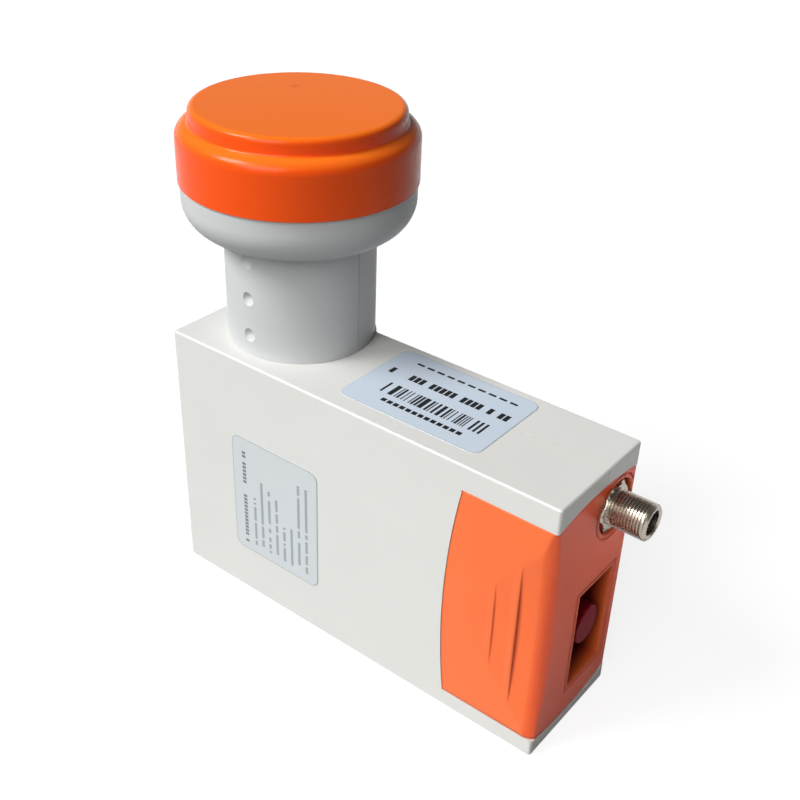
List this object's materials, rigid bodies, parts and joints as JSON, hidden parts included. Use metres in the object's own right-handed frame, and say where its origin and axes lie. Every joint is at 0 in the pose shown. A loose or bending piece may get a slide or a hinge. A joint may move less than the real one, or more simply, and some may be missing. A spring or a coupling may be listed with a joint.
{
  "type": "satellite lnb",
  "caption": "Optical satellite LNB: pale box housing with a round clamp neck, orange feed cap, and an orange connector end with a threaded coaxial port and a capped fibre port.",
  "frame": {"origin": "on the foot, straight under the horn axis", "axes": "+Z along the horn axis towards the feed cap, +X towards the connectors, -Y towards the side label"},
  "size_m": [0.1383, 0.0612, 0.1399],
  "materials": {
    "white_housing": "fine satin moulded ABS",
    "grey_neck": "smooth moulded ABS",
    "orange_cap": "satin moulded polypropylene",
    "orange_cover": "satin moulded ABS",
    "crimson_cap": "soft moulded dust cap",
    "cast_alloy": "as die cast",
    "nickel_plate": "nickel plated, turned",
    "gold_wire": "plated wire",
    "white_ptfe": "waxy fluoropolymer",
    "black_resin": "moulded black polymer",
    "board_laminate": "solder-masked glass laminate",
    "chip_black": "moulded epoxy",
    "steel_can": "pressed steel can",
    "screw_steel": "zinc-plated steel",
    "absorber_foam": "loaded silicone sheet",
    "seal_rubber": "moulded nitrile",
    "white_ceramic": "ground zirconia",
    "top_sticker": "printed film",
    "side_sticker": "printed film"
  },
  "bodies": {
    "root": {"front_shell": "white_housing", "rear_shell": "white_housing", "horn_shell": "grey_neck", "feed_cap": "orange_cap", "cap_o_ring": "seal_rubber", "feed_horn": "cast_alloy", "chassis_casting": "cast_alloy", "straight_probe": "gold_wire", "hooked_probe": "gold_wire", "probe_insulators": "white_ptfe", "isolation_rod": "screw_steel", "rf_board": "board_laminate", "low_noise_transistors": "chip_black", "mixer_chip": "chip_black", "reference_crystal": "steel_can", "voltage_regulator": "chip_black", "laser_driver": "chip_black", "shield_lid": "cast_alloy", "absorber_pad": "absorber_foam", "lid_screws": "screw_steel", "connector_cover": "orange_cover", "f_connector": "nickel_plate", "f_insulator": "black_resin", "f_contact": "gold_wire", "f_washer": "screw_steel", "fibre_port": "black_resin", "port_screws": "screw_steel", "ferrule_sleeve": "white_ceramic", "dust_cap": "crimson_cap", "laser_diode": "steel_can", "laser_leads": "gold_wire", "shell_screws": "screw_steel", "top_label": "top_sticker", "side_label": "side_sticker"}
  },
  "joints": []
}
